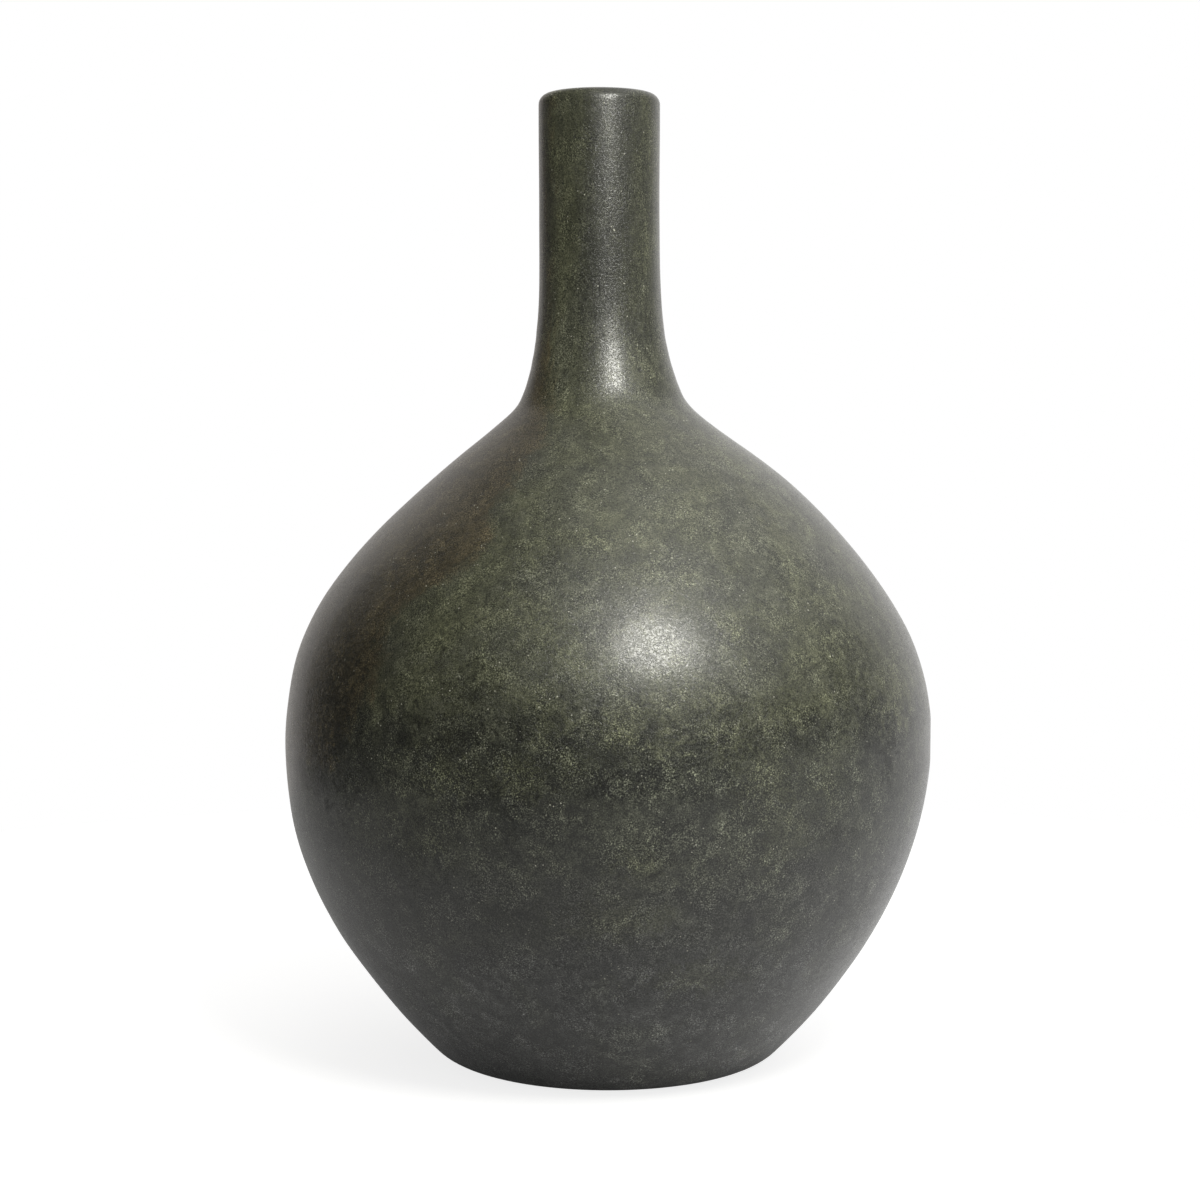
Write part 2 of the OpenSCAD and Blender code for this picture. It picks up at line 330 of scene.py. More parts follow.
def swell_at(table, height):
    """How far the wall stands out at a height, in metres, on a flowing line through a table's points."""
    level = height * PER_METRE
    place = min(max(bisect_right(table, level, key=lambda point: point[0]), 1), len(table) - 1)
    before, low, high, after = (
        table[min(max(place + step, 0), len(table) - 1)] for step in (-2, -1, 0, 1))
    span = high[0] - low[0]
    leave = (high[1] - before[1]) / (high[0] - before[0]) * span
    arrive = (after[1] - low[1]) / (after[0] - low[0]) * span
    t = min(max((level - low[0]) / span, 0), 1)
    u = 1 - t
    from_low = u * u * ((1 + 2 * t) * low[1] + t * leave)
    from_high = t * t * ((1 + 2 * u) * high[1] - u * arrive)
    return (from_low + from_high) * MM


class Skin:
    """The coat's outer skin or its inner wall, as a distance from the axis at any height and side."""

    def __init__(self, form, hand, depth):
        self.form, self.hand, self.outer = form, hand, depth == 0
        steps = SKIN_STEPS if self.outer else WALL_STEPS
        self.body = body_line(form, depth, steps)
        self.neck = neck_line(form, depth, steps)
        self.softness = hand.root_softness if self.outer else 0

    def offset(self, height):
        """How far the neck stands to the left at a height."""
        hand = self.hand
        if not self.outer:
            return self.form.neck_offset
        return (self.form.neck_offset + hand.lean) * smooth(height, hand.lean_start, hand.lean_end)

    def reach(self, height, angle):
        """Distance from the axis to the turned surface."""
        body = radius_at(self.body, height)
        if height < self.neck[0][1]:
            return body
        neck = ring_reach(radius_at(self.neck, height), self.offset(height), angle)
        return soft_greater(body, neck, self.softness)

    def swell(self, height, angle):
        """What hand work adds to that distance, as far as the turned form's greatest radius."""
        hand = self.hand
        left = swell_at(LEFT_SWELLS, height) * (1 - cos(angle)) / 2
        right = swell_at(RIGHT_SWELLS, height) * (1 + cos(angle)) / 2
        radius = self.reach(height, angle)
        place = Vector((radius * cos(angle), radius * sin(angle), height))
        sway = hand.sway * noise.noise(place / hand.sway_size)
        up = smooth(height, self.form.shoulder_height, hand.lean_end)
        drawn = Vector((place.x, place.y, place.z * (1 - NECK_DRAW * up)))
        press = hand.press * (1 + NECK_PRESS * up) * noise.noise(drawn / hand.press_size)
        return min(left + right + sway + press, GREATEST_REACH - radius)


# Meshes

def new_piece(name, mesh, nodes):
    """Makes an object of a finished mesh, smooth and riding on the vase."""
    data = bpy.data.meshes.new(name)
    bmesh.ops.recalc_face_normals(mesh, faces=mesh.faces)
    mesh.to_mesh(data)
    mesh.free()
    data.polygons.foreach_set("use_smooth", [True] * len(data.polygons))
    piece = bpy.data.objects.new(name, data)
    bpy.context.scene.collection.objects.link(piece)
    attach(piece, "root")
    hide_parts(*nodes)
    return piece


def finish_piece(piece, material):
    """Gives a piece or a node of the frame its material."""
    piece.data.materials.clear()
    piece.data.materials.append(material)


def rings_of(points, part, surface):
    """Rings through an outline's points, with how much of a surface's form they follow."""
    return [(point.x, point.y, part, surface) for point in points]


def coat_mesh(form, hand):
    """The plaster coat: one closed shell, spun round the axis and then pressed by hand."""
    skin = Skin(form, hand, 0)
    wall = Skin(form, hand, form.coat_thickness)
    top, foot = COAT_HIGH.z, COAT_LOW.z
    lip_centre = (form.neck_radius - form.lip_round, top - form.lip_round)
    mouth_centre = (form.mouth_radius + form.mouth_round, top - form.mouth_round)
    foot_centre = (form.foot_radius, foot + form.foot_round)
    rise = form.foot_rise * 180 / pi - 90
    hole = FELT_HIGH.x + form.felt_gap
    clay_bore = form.mouth_radius + form.turn_in_thickness

    # Every ring: its radius, its height, and how much of the skin's or the wall's form it follows
    rings = [(hole, foot, 0, skin), ((hole + form.foot_radius) / 2, foot, 0, skin)]
    foot_points = arc(foot_centre, form.foot_round, -90, rise, FOOT_STEPS)
    rings += [(point.x, point.y, index / FOOT_STEPS, skin) for index, point in enumerate(foot_points)]
    straight = top - form.lip_round
    body_heights = [point.y for point in skin.body[1:-1] if point.y < form.shoulder_height]
    neck_heights = [
        form.shoulder_height + (straight - form.shoulder_height) * step / NECK_STEPS
        for step in range(NECK_STEPS + 1)]
    rings += [(None, height, 1, skin) for height in body_heights + neck_heights]
    rings += rings_of(arc(lip_centre, form.lip_round, 0, 90, LIP_STEPS)[1:], 1, skin)
    rings += rings_of(arc(mouth_centre, form.mouth_round, 90, 180, LIP_STEPS), 0, wall)
    rings += [
        (form.mouth_radius, form.turn_in_height, 0, wall), (clay_bore, form.turn_in_height, 0, wall),
        (clay_bore, top - form.coat_thickness, 0, wall)]
    inner_lip = form.lip_round - form.coat_thickness
    rings += rings_of(arc(lip_centre, inner_lip, 90, 0, INNER_LIP_STEPS), 0, wall)
    rings += [
        (None, straight + (form.shoulder_height - straight) * step / INNER_NECK_STEPS, 1, wall)
        for step in range(1, INNER_NECK_STEPS + 1)]
    rings += [
        (None, point.y, 1, wall) for point in reversed(wall.body[:-1]) if point.y < form.shoulder_height]
    inner_foot = form.foot_round - form.coat_thickness
    rings += rings_of(arc(foot_centre, inner_foot, rise, -90, INNER_FOOT_STEPS)[1:], 0, None)
    rings += [(hole, FELT_HIGH.z, 0, None)]

    mesh = bmesh.new()
    ring_number = mesh.verts.layers.int.new("ring")
    profile = []
    for index, (radius, height, part, surface) in enumerate(rings):
        vertex = mesh.verts.new((radius or surface.reach(height, 0), 0, height))
        vertex[ring_number] = index
        profile.append(vertex)
    edges = [mesh.edges.new(pair) for pair in zip(profile, profile[1:] + profile[:1])]
    bmesh.ops.spin(
        mesh, geom=profile + edges, cent=(0, 0, 0), axis=(0, 0, 1), angle=2 * pi,
        steps=hand.segments, use_merge=True, use_normal_flip=False, use_duplicate=False)

    for vertex in mesh.verts:
        radius, height, part, surface = rings[vertex[ring_number]]
        angle = atan2(vertex.co.y, vertex.co.x)
        if surface is None:
            continue
        if radius is None:
            reach = surface.reach(height, angle)
            if surface is skin:
                reach += skin.swell(height, angle)
        elif height > form.shoulder_height:
            reach = ring_reach(radius, surface.offset(height), angle) + part * skin.swell(height, angle)
        else:
            reach = radius + part * skin.swell(height, angle)
        vertex.co.x, vertex.co.y = reach * cos(angle), reach * sin(angle)
    return mesh


# The felt: what the knife takes off its radius, the round of its edge as a share of its thickness,
# and how far its outline wavers, as a share of its radius, over how many millimetres
FELT_SEGMENTS = 144
FELT_TRIM = 0.3 * MM
FELT_ROUND = 0.3
FELT_WAVER = 0.003
FELT_WAVER_SIZE = 7


def felt_mesh():
    """The felt pad: a cut disc with soft, slightly uneven edges."""
    mesh = bmesh.new()
    thickness = FELT_HIGH.z - FELT_LOW.z
    radius = FELT_HIGH.x - FELT_TRIM
    bmesh.ops.create_cone(
        mesh, cap_ends=True, cap_tris=False, segments=FELT_SEGMENTS, radius1=radius, radius2=radius,
        depth=thickness)
    rims = [edge for edge in mesh.edges if edge.verts[0].co.z == edge.verts[1].co.z]
    bmesh.ops.bevel(
        mesh, geom=rims, offset=thickness * FELT_ROUND, offset_type="OFFSET", affect="EDGES",
        segments=4, profile=0.5, material=-1)
    bmesh.ops.translate(mesh, verts=mesh.verts, vec=(0, 0, (FELT_LOW.z + FELT_HIGH.z) / 2))
    for vertex in mesh.verts:
        spread = 1 + FELT_WAVER * (noise.noise(vertex.co * PER_METRE / FELT_WAVER_SIZE) - 1)
        vertex.co.x *= spread
        vertex.co.y *= spread
    return mesh


# Shaders

class Field:
    """A shader's socket. Python's operators on it add Math nodes to its tree."""

    def __init__(self, recipe, socket):
        self.recipe, self.socket = recipe, socket

    def maths(self, operation, *values):
        """A Math node on one or two values."""
        return self.recipe.add("ShaderNodeMath", {"operation": operation}, dict(enumerate(values)))

    def __add__(self, other):
        return self.maths("ADD", self, other)

    def __sub__(self, other):
        return self.maths("SUBTRACT", self, other)

    def __rsub__(self, other):
        return self.maths("SUBTRACT", other, self)

    def __mul__(self, other):
        return self.maths("MULTIPLY", self, other)

    def __abs__(self):
        return self.maths("ABSOLUTE", self)

    __radd__ = __add__
    __rmul__ = __mul__

    def between(self, low, high):
        """Nought up to one value and one from another, softly; the values may be the other way round."""
        settings = {"interpolation_type": "SMOOTHSTEP"}
        return self.recipe.add("ShaderNodeMapRange", settings, {0: self, 1: low, 2: high})


class Recipe:
    """A node tree under construction."""

    def __init__(self, tree):
        self.tree = tree
        tree.nodes.clear()

    def add(self, kind, settings=None, sockets=None, output=0):
        """Adds a node, sets it, fills or links its sockets, and gives one of its outputs, if any."""
        node = self.tree.nodes.new(kind)
        for name, value in (settings or {}).items():
            setattr(node, name, value)
        for name, value in (sockets or {}).items():
            if isinstance(value, Field):
                self.tree.links.new(value.socket, node.inputs[name])
            else:
                node.inputs[name].default_value = value
        return Field(self, node.outputs[output]) if node.outputs else None

    def place(self):
        """Places on the object, in millimetres."""
        coordinates = self.add("ShaderNodeTexCoord", output="Object")
        return self.stretched(coordinates, (PER_METRE, PER_METRE, PER_METRE))

    def stretched(self, vector, scale):
        """A vector times a scale along each axis."""
        return self.add("ShaderNodeVectorMath", {"operation": "MULTIPLY"}, {0: vector, 1: scale})

    def parts(self, vector):
        """The three numbers in a vector."""
        split = self.add("ShaderNodeSeparateXYZ", sockets={0: vector})
        return [Field(self, socket) for socket in split.socket.node.outputs]

    def noise(self, place, size, detail=2.0, roughness=0.5, distortion=0.0):
        """Noise with swells of a size in millimetres."""
        sockets = {
            "Vector": place, "Scale": 1 / size, "Detail": detail, "Roughness": roughness,
            "Distortion": distortion}
        return self.add("ShaderNodeTexNoise", {}, sockets)

    def drawn_noise(self, place, drawn, part, size, detail=2.0, roughness=0.5, distortion=0.0):
        """Noise that passes, by a share, into noise drawn out along other places."""
        near = self.noise(place, size, detail, roughness, distortion)
        far = self.noise(drawn, size, detail, roughness, distortion)
        return near + (far - near) * part

    def scaled(self, tone, factor):
        """A colour made lighter or darker."""
        return self.add("ShaderNodeVectorMath", {"operation": "SCALE"}, {0: tone, "Scale": factor})

    def cells(self, place, size):
        """Distances from scattered points, and a random number for each point."""
        sockets = {"Vector": place, "Scale": 1 / size}
        distance = self.add("ShaderNodeTexVoronoi", {}, sockets)
        chance = self.parts(Field(self, distance.socket.node.outputs["Color"]))[0]
        return distance * size, chance

    def mixed(self, part, first, second):
        """Two colours, mixed by a number."""
        first, second = self.opaque(first), self.opaque(second)
        return self.add("ShaderNodeMix", {"data_type": "RGBA"}, {0: part, 6: first, 7: second}, output=2)

    def opaque(self, value):
        """A colour with its fourth number, or a link as it is."""
        return value if isinstance(value, Field) else (*value, 1)

    def bump(self, height, distance, normal=None):
        """A normal bent by a height that is given in shares of a distance in millimetres."""
        sockets = {"Height": height, "Distance": distance * MM}
        if normal:
            sockets["Normal"] = normal
        return self.add("ShaderNodeBump", {}, sockets)

    def surface(self, sockets):
        """The finished surface."""
        shader = self.add("ShaderNodeBsdfPrincipled", {}, sockets)
        self.add("ShaderNodeOutputMaterial", {}, {"Surface": shader})


def new_material(name):
    """A material and its recipe."""
    material = bpy.data.materials.new(name)
    material.use_nodes = True
    return material, Recipe(material.node_tree)


# Where a mark's edge starts and ends, in shares of its half width
MARK_EDGE = (1.5, 0.4)


def marks(recipe, form, place, table, ragged):
    """How much some marks on the vase's front cover, with ragged edges."""
    outline = body_line(form, 0, WALL_STEPS)
    cover = 0.0
    for across, height, wide, high, strength in table:
        reach = radius_at(outline, height * MM) * PER_METRE
        centre = (across, -sqrt(reach * reach - across * across), height)
        away = recipe.add("ShaderNodeVectorMath", {"operation": "SUBTRACT"}, {0: place, 1: centre})
        away = recipe.stretched(away, (1 / wide, 1 / wide, 1 / high))
        distance = recipe.add("ShaderNodeVectorMath", {"operation": "LENGTH"}, {0: away}, output=1)
        mark = (distance + ragged).between(*MARK_EDGE) * strength
        cover = mark.maths("MAXIMUM", mark, cover)
    return cover


# Sizes in millimetres of the plaster's clouds, from the broadest down to the grains
BROAD_SIZE = 46
HUE_SIZE = 30
CLOUD_SIZE = 15
PATCH_SIZE = 11
MOTTLE_SIZE = 5.5
CRUMB_SIZE = 1.9
GRAIN_SIZE = 0.60

# Sizes and spacings in millimetres of the small marks in its skin
WORN_SIZE = 9
SWARM_SIZE = 7
SPECK_SPACING = 1.5
PIT_SPACING = 5.0
FLECK_SPACING = 2.2
HAIR_SIZE = 1.5
SCRATCH_SWARM_SIZE = 6
CRACK_SIZE = 6.5
CRACK_SWARM_SIZE = 15

# Depths in millimetres of the relief that is left in it
CLOUD_DEPTH = 0.18
GRAIN_DEPTH = 0.056
HAIR_DEPTH = 0.042

# Heights in millimetres between which the coat changes
UPPER_LIFT_END = (184, 160)
LOW_START = (124, 98)
FOOT_START = (92, 62)
NECK_START = (290, 335)

# How the clouds are drawn out on the neck: a scale along each axis
NECK_GRAIN = (1.25, 1.25, 0.4)

# How far in millimetres the clouds and the mottling pull the upper lift's edge and the flank's border
LIFT_PULL = (48, 34)
FLANK_PULL = (18, 16)

# How much of the coat's colour the belly band hides, and how much a mark hides
BAND_COVER = 0.9
MARK_COVER = 0.8

# The brown flank's right border: where it starts, the heights between which it moves to the right and
# how far, and the height where the flank ends
FLANK_START = -118
FLANK_MOVES = ((150, 200, 22), (208, 250, 44), (250, 300, 24))
FLANK_END = (145, 154)


def burnished_plaster(look, form):
    """Dark lime plaster, clouded, speckled, rubbed smooth with a stone and waxed."""
    material, recipe = new_material("burnished_plaster")
    place = recipe.place()
    across, _, height = recipe.parts(place)

    # Clouds of two plasters, drawn upwards on the neck by the hand that rubbed it
    on_neck = height.between(*NECK_START)
    drawn = recipe.stretched(place, NECK_GRAIN)
    broad = recipe.drawn_noise(place, drawn, on_neck, BROAD_SIZE, 2, 0.5, 0.3)
    cloud = recipe.drawn_noise(place, drawn, on_neck, CLOUD_SIZE, 3, 0.6, 1.2)
    mottle = recipe.drawn_noise(place, drawn, on_neck, MOTTLE_SIZE, 3, 0.6, 1.0)
    crumbs = recipe.noise(place, CRUMB_SIZE, 2, 0.6)
    grain = recipe.noise(place, GRAIN_SIZE, 1, 0.6)
    hue = recipe.drawn_noise(place, drawn, on_neck, HUE_SIZE, 3, 0.6, 0.4)
    tone = recipe.mixed(hue.between(0.36, 0.62), look.slate, look.olive)

    # The coat was laid in two lifts: the upper one ends in a ragged line, with patches of it below
    ragged = height + (cloud - 0.5) * LIFT_PULL[0] + (mottle - 0.5) * LIFT_PULL[1]
    below = ragged.between(*UPPER_LIFT_END)
    tone = recipe.mixed(below * BAND_COVER, tone, look.band)
    tone = recipe.mixed(ragged.between(*LOW_START), tone, look.low)
    tone = recipe.mixed(ragged.between(*FOOT_START), tone, look.foot)
    tone = recipe.mixed(below * hue.between(0.46, 0.64) * 0.4, tone, look.moss)

    # Pale patches and dark stains that lie where the photograph has them; among them are painted light,
    # such as the sheen under the highlight, and painted shade
    torn = (mottle - 0.5) * 5 + (crumbs - 0.5) * 3
    pale = marks(recipe, form, place, PALE_MARKS_AND_PAINTED_LIGHT, torn)
    tone = recipe.mixed(pale * MARK_COVER, tone, look.patch)
    dark_and_painted_shade = marks(recipe, form, place, DARK_MARKS_AND_PAINTED_SHADE, torn)

    # A browner flank, whose border runs down the neck's left side and out over the shoulder
    border = sum(height.between(low, high) * move for low, high, move in FLANK_MOVES)
    left_of = border + FLANK_START - across
    left_of = left_of + (cloud - 0.5) * FLANK_PULL[0] + (mottle - 0.5) * FLANK_PULL[1]
    flank = left_of.between(-5, 5)
    flank = flank * (height + (mottle - 0.5) * FLANK_PULL[1]).between(*FLANK_END)
    tone = recipe.mixed(flank, tone, look.flank)
    tone = recipe.mixed(dark_and_painted_shade * MARK_COVER, tone, look.stain)

    # Painted light and shade on the neck: painted light on its left side and a little on its right,
    # painted shade down its middle, and the upper neck darker overall
    neck_painted_shading = height.between(295, 335) * across.between(-9, -27) * 0.8
    # The neck's middle, where the painted shade falls
    column = across.between(-12, -3) * across.between(16, 7)
    neck_painted_shading = neck_painted_shading + height.between(305, 365) * (
        across.between(10, 24) * 0.1 - column * 0.54 - 0.42)

    # Uneven tone at every size, from clouds to grains; the pale marks, partly painted light, are made
    # lighter still, and painted shade darkens the vase's left side
    patchy = recipe.noise(place, PATCH_SIZE, 2).between(0.38, 0.62) * 0.9 + 0.55
    clouds = (broad - 0.5) * 0.75 + (cloud - 0.5) * 1.8 + (mottle - 0.5) * 1.5
    unrest = (
        neck_painted_shading + clouds * (1 + below * 0.7) + (crumbs - 0.5) * (1.0 + pale * 2.5)
        + (grain - 0.5) * (3.6 + below * 2.0) * patchy + pale * 0.2 - below * 0.14
        # Painted shade over the vase's left side
        - across.between(15, -45) * 0.10)
    tone = recipe.scaled(tone, unrest.maths("EXPONENT", unrest))

    # Pale grains in small swarms, then pits, short dark scratches, flecks and cracks
    grit = grain.between(0.52, 0.80) * (0.03 + below * 0.03) * patchy
    tone = recipe.mixed(grit, tone, look.speck)
    swarm = recipe.noise(place, SWARM_SIZE, 2).between(0.54, 0.66)
    reach, chance = recipe.cells(place, SPECK_SPACING)
    specks = (reach - chance * 0.42).between(0.02, -0.18) * swarm
    sparks = (reach - 0.22).between(0.1, -0.15) * chance.between(0.992, 0.994)
    tone = recipe.mixed(specks.maths("MAXIMUM", specks, sparks) * 0.9, tone, look.speck)
    pit_reach, pit_chance = recipe.cells(place, PIT_SPACING)
    pits = (pit_reach - pit_chance * 0.7).between(0.1, -0.1)
    hairs = abs(recipe.noise(place, HAIR_SIZE, 2, 0.6, 0.8) - 0.5).between(0.0, 0.075)
    scratches = (1 - hairs) * recipe.noise(place, SCRATCH_SWARM_SIZE, 2).between(0.48, 0.64)
    fleck_reach, fleck_chance = recipe.cells(place, FLECK_SPACING)
    flecks = (fleck_reach - fleck_chance * 0.5).between(0.08, -0.16)
    cracks = abs(recipe.noise(place, CRACK_SIZE, 3, 0.6, 0.9) - 0.5).between(0.045, 0.0)
    crack_swarm = recipe.noise(place, CRACK_SWARM_SIZE, 2).between(0.52, 0.60)
    cracks = cracks * crack_swarm * (0.25 + below * 0.55)
    pores = grain.between(0.46, 0.22) * (0.4 + below * 0.2)
    dents = pits + scratches * 0.6 + flecks * 0.45 + cracks + pores
    tone = recipe.mixed(dents.maths("MINIMUM", dents, 0.75), tone, look.stain)

    # The stone leaves flats and hairlines, and rubs the grain smooth
    worn = recipe.noise(place, WORN_SIZE, 3)
    # The dark marks, partly painted shade, are rougher and carry less wax
    roughness = look.gloss + 0.02 + worn * 0.05 + dark_and_painted_shade * 0.3 + (grain - 0.5) * 0.18 - hairs * 0.07
    relief = recipe.bump(cloud, CLOUD_DEPTH)
    relief = recipe.bump(grain + crumbs * 0.5, GRAIN_DEPTH, relief)
    relief = recipe.bump(hairs + (1 - pits) - flecks * 0.6 - cracks, HAIR_DEPTH, relief)
    recipe.surface({
        "Base Color": tone, "Roughness": roughness, "Normal": relief, "IOR": 1.45,
        "Coat Weight": look.wax - worn * 0.2 + (grain - 0.5) * 1.4 - flecks * 0.4 - dark_and_painted_shade * 0.5,
        "Coat Roughness": look.wax_roughness, "Coat IOR": 1.5,
    })
    return material


def fired_clay(name, body, pale):
    """Terracotta with the rings that fingers leave on the wheel."""
    material, recipe = new_material(name)
    place = recipe.place()
    streaks = recipe.noise(recipe.stretched(place, (0.25, 0.25, 1)), 3.5, 3, 0.6)
    grog = recipe.noise(place, 0.8, 2, 0.7)
    tone = recipe.mixed(streaks.between(0.35, 0.7), body, pale)
    tone = recipe.mixed(grog.between(0.62, 0.75) * 0.35, tone, pale)
    rings = recipe.bump(streaks, 0.6)
    relief = recipe.bump(grog, 0.05, rings)
    recipe.surface({
        "Base Color": tone, "Roughness": 0.72 + grog * 0.2, "Normal": relief, "IOR": 1.45})
    return material


def sealing_glaze(look):
    """Dark glaze, thin enough for the turning rings to show through it."""
    material, recipe = new_material("sealing_glaze")
    place = recipe.place()
    rings = recipe.noise(recipe.stretched(place, (0.2, 0.2, 1)), 4, 2)
    pools = recipe.noise(place, 22, 3)
    pale = [channel * 1.9 for channel in look.glaze]
    tone = recipe.mixed(pools.between(0.4, 0.65), look.glaze, pale)
    relief = recipe.bump(rings, 0.35)
    recipe.surface({"Base Color": tone, "Roughness": 0.12 + pools * 0.15, "Normal": relief, "IOR": 1.52})
    return material


def wool_felt(look):
    """Pressed wool, with fibres that catch the light."""
    material, recipe = new_material("wool_felt")
    place = recipe.place()
    fibres = recipe.noise(place, 0.5, 4, 0.75, 1.5)
    tufts = recipe.noise(place, 4, 3)
    pale = [channel * 3 for channel in look.felt]
    tone = recipe.mixed((fibres * 0.6 + tufts * 0.4).between(0.4, 0.65), look.felt, pale)
    relief = recipe.bump(fibres, 0.25)
    recipe.surface({"Base Color": tone, "Roughness": 0.95, "Normal": relief, "Sheen Weight": 0.4})
    return material


# Operators

class VASE_OT_plaster_coat(bpy.types.Operator):
    """Makes the burnished plaster coat with its lip and its foot"""

    bl_idname = "vase.plaster_coat"
    bl_label = "Plaster Coat"

    def execute(self, context):
        scene = context.scene
        mesh = coat_mesh(scene.vase_form, scene.vase_hand)
        piece = new_piece("burnished_coat", mesh, ["plaster_coat"])
        finish_piece(piece, burnished_plaster(scene.vase_plaster, scene.vase_form))
        return {"FINISHED"}


class VASE_OT_felt_pad(bpy.types.Operator):
    """Makes the felt pad under the foot"""

    bl_idname = "vase.felt_pad"
    bl_label = "Felt Pad"

    def execute(self, context):
        piece = new_piece("felt_disc", felt_mesh(), ["felt_pad"])
        finish_piece(piece, wool_felt(context.scene.vase_clay))
        return {"FINISHED"}


class VASE_OT_clay_body(bpy.types.Operator):
    """Finishes the fired clay sections, the coils in their seams and the glaze that lines them"""

    bl_idname = "vase.clay_body"
    bl_label = "Clay Body"

    def execute(self, context):
        look = context.scene.vase_clay
        clay = fired_clay("fired_clay", look.clay, look.clay_pale)
        coil = fired_clay("pressed_coil", look.coil, look.clay)
        for name in ("base_slab", "lower_bowl", "upper_shoulder", "neck_tube"):
            finish_piece(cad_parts[name], clay)
        for name in ("base_seam_coil", "belly_seam_coil", "neck_seam_coil"):
            finish_piece(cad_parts[name], coil)
        finish_piece(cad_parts["inner_lining"], sealing_glaze(look))
        return {"FINISHED"}


# The floor's grey, and its own glow: for the camera, for the vase as a painted pool of light, and for
# what mirrors it as well
FLOOR_GREY = (0.47, 0.47, 0.47, 1)
SEEN_GLOW = 0.82
PAINTED_POOL_GLOW = 0.32
MIRRORED_GLOW = 0.10

# Where that glow sets in, in millimetres: from left to right, a painted pool of light on the right, and
# away from the foot, a painted shadow round it
PAINTED_POOL_ACROSS = (-50, 350)
PAINTED_FOOT_SHADOW = (62, 96)


def pale_floor(studio):
    """A round pale floor that shows the vase's shadow, and whose glow is a painted pool of light with a
    painted shadow round the foot.
    """
    mesh = bmesh.new()
    bmesh.ops.create_circle(mesh, cap_ends=True, segments=96, radius=studio.floor_radius)
    data = bpy.data.meshes.new("floor")
    mesh.to_mesh(data)
    mesh.free()
    floor = bpy.data.objects.new("floor", data)
    bpy.context.scene.collection.objects.link(floor)
    material, recipe = new_material("pale_floor")
    seen = recipe.add("ShaderNodeLightPath", output="Is Camera Ray")
    path = seen.socket.node.outputs
    mirrored = Field(recipe, path["Is Glossy Ray"]) + Field(recipe, path["Is Transmission Ray"])
    place = recipe.place()
    across, _, _ = recipe.parts(place)
    # Painted pool of light on the floor's right side
    painted_light_pool = across.between(*PAINTED_POOL_ACROSS)
    apart = recipe.add("ShaderNodeVectorMath", {"operation": "LENGTH"}, {0: place}, output=1)
    board = recipe.add("ShaderNodeBsdfDiffuse", {}, {"Color": FLOOR_GREY})
    glow_with_painted_pool = painted_light_pool * PAINTED_POOL_GLOW + mirrored.maths("MINIMUM", mirrored, 1) * MIRRORED_GLOW
    # The glow fades near the foot: a painted shadow
    strength = seen * SEEN_GLOW + (1 - seen) * glow_with_painted_pool * apart.between(*PAINTED_FOOT_SHADOW)
    glow = recipe.add("ShaderNodeEmission", {}, {"Color": (1, 1, 1, 1), "Strength": strength})
    both = recipe.add("ShaderNodeAddShader", {}, {0: board, 1: glow})
    recipe.add("ShaderNodeOutputMaterial", {}, {"Surface": both})
    floor.data.materials.append(material)


# The light that comes from each part of the room
FRONT_TONE = (0.015, 0.016, 0.012)
LEFT_TONE = (0.10, 0.10, 0.09)
SHEET_EDGE_TONE = (0.24, 0.23, 0.215)
SHEET_TONE = (0.50, 0.48, 0.46)
CLOTH_TONE = (0.77, 0.77, 0.75)
SCRIM_TONE = (1.0, 1.0, 0.98)
SCRIM_FAR_TONE = (0.58, 0.58, 0.57)
GAP_TONE = (0.08, 0.08, 0.08)
BACK_TONE = (0.72, 0.71, 0.70)
WHITE = (1, 1, 1)

# The tones further round on the left, each with the turns between which it comes in, in degrees
FAR_LEFT = (
    (-76, -90, (0.045, 0.045, 0.04)),
    (-98, -106, (0.02, 0.018, 0.014)),
    (-112, -134, (0.10, 0.095, 0.085)),
)


def studio_room():
    """The room around the vase, as the light that comes from each direction."""
    world = bpy.data.worlds.new("studio_room")
    world.use_nodes = True
    recipe = Recipe(world.node_tree)
    bpy.context.scene.world = world
    direction = recipe.add("ShaderNodeTexCoord", output="Generated")
    right, back, up = recipe.parts(direction)
    # Degrees to the right of the camera's side, and above the floor
    turn = right.maths("ARCTAN2", right, 0 - back) * (180 / pi)
    rise = up.maths("ARCSINE", up) * (180 / pi)

    # A dark room to the left, a white sheet low behind it, and white cloth low on the right
    tone = recipe.mixed(turn.between(-52, -66), FRONT_TONE, LEFT_TONE)
    for start, end, wall in FAR_LEFT:
        tone = recipe.mixed(turn.between(start, end), tone, wall)
    tone = recipe.mixed(turn.between(-124, -138) * rise.between(26, 40), tone, SHEET_EDGE_TONE)
    tone = recipe.mixed(turn.between(-136, -141) * rise.between(44, 34), tone, SHEET_TONE)
    tone = recipe.mixed(rise.between(34, 46) * turn.between(-80, -45), tone, LEFT_TONE)
    tone = recipe.mixed(rise.between(6, -6) * turn.between(16, 60), tone, CLOTH_TONE)

    # A scrim overhead and to the right, and a paler sheet behind on the right
    scrim = rise.between(13, 23) * right.between(-0.30, 0.16)
    far = right.between(0.42, 0.78)
    tone = recipe.mixed(scrim, tone, recipe.mixed(far, SCRIM_TONE, SCRIM_FAR_TONE))
    gap = turn.between(70, 92) * rise.between(38, 20) * rise.between(-4, 6)
    tone = recipe.mixed(gap, tone, GAP_TONE)
    tone = recipe.mixed(turn.between(112, 128), tone, BACK_TONE)
    seen = recipe.add("ShaderNodeLightPath", output="Is Camera Ray")
    tone = recipe.mixed(seen, tone, WHITE)
    room = recipe.add("ShaderNodeBackground", {}, {"Color": tone, "Strength": 1.0})
    recipe.add("ShaderNodeOutputWorld", {}, {"Surface": room})


# Where the softbox hangs and the place on the belly that it faces, in metres, and its light's colour
KEY_PLACE = Vector((0.168, -0.488, 0.641))
KEY_AIM = Vector((0.016, -0.135, 0.211))
KEY_COLOUR = (1.0, 0.994, 0.933)


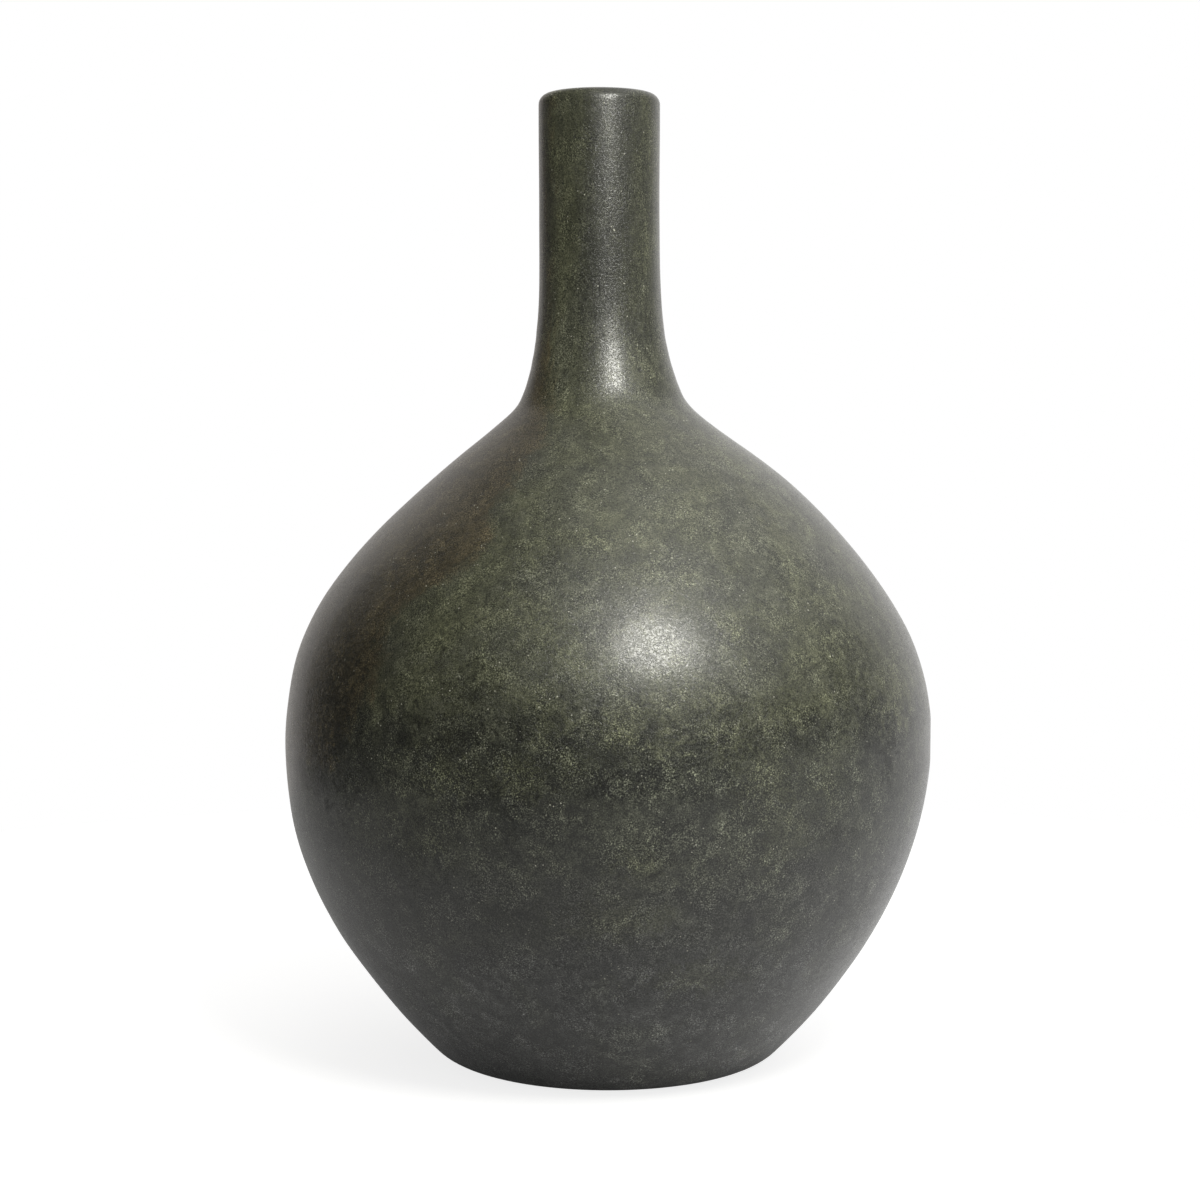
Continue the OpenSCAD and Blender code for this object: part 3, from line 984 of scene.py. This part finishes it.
def softbox(studio):
    """The lamp that makes the highlight on the belly."""
    lamp = bpy.data.lights.new("softbox", "AREA")
    lamp.shape = "ELLIPSE"
    lamp.size = studio.key_width
    lamp.size_y = studio.key_height
    lamp.energy = studio.key_power
    lamp.color = KEY_COLOUR
    key = bpy.data.objects.new("softbox", lamp)
    key.location = KEY_PLACE
    key.rotation_euler = (KEY_AIM - KEY_PLACE).to_track_quat("-Z", "Y").to_euler()
    key.visible_camera = False
    bpy.context.scene.collection.objects.link(key)


def set_camera(studio):
    """The camera of the picture."""
    data = bpy.data.cameras.new("camera")
    data.lens = studio.lens
    data.sensor_fit = "HORIZONTAL"
    camera = bpy.data.objects.new("camera", data)
    camera.location = (-studio.camera_side, -studio.camera_distance, studio.camera_height)
    camera.rotation_euler = (pi / 2 - studio.camera_tilt, 0, 0)
    bpy.context.scene.collection.objects.link(camera)
    bpy.context.scene.camera = camera


class VASE_OT_studio(bpy.types.Operator):
    """Sets the floor, the room's light, the softbox and the camera"""

    bl_idname = "vase.studio"
    bl_label = "Studio"

    def execute(self, context):
        studio = context.scene.vase_studio
        context.scene.view_settings.view_transform = "Standard"
        pale_floor(studio)
        studio_room()
        softbox(studio)
        set_camera(studio)
        return {"FINISHED"}


class VASE_PT_panel(bpy.types.Panel):
    """Lists the vase's settings and its making steps"""

    bl_idname = "VASE_PT_panel"
    bl_label = "Plaster Vase"
    bl_space_type = "VIEW_3D"
    bl_region_type = "UI"
    bl_category = "Vase"

    def draw(self, context):
        for name, group in SETTINGS:
            column = self.layout.column(align=True)
            for field in group.__annotations__:
                column.prop(getattr(context.scene, name), field)
        for operator in OPERATORS:
            self.layout.operator(operator.bl_idname)


OPERATORS = (VASE_OT_plaster_coat, VASE_OT_felt_pad, VASE_OT_clay_body, VASE_OT_studio)


def register():
    for name, group in SETTINGS:
        bpy.utils.register_class(group)
        setattr(bpy.types.Scene, name, PointerProperty(type=group))
    for item in OPERATORS + (VASE_PT_panel,):
        bpy.utils.register_class(item)


def unregister():
    for item in reversed(OPERATORS + (VASE_PT_panel,)):
        bpy.utils.unregister_class(item)
    for name, group in reversed(SETTINGS):
        delattr(bpy.types.Scene, name)
        bpy.utils.unregister_class(group)


def main():
    register()
    bpy.ops.vase.plaster_coat()
    bpy.ops.vase.felt_pad()
    bpy.ops.vase.clay_body()
    bpy.ops.vase.studio()


if __name__ == "__main__":
    main()
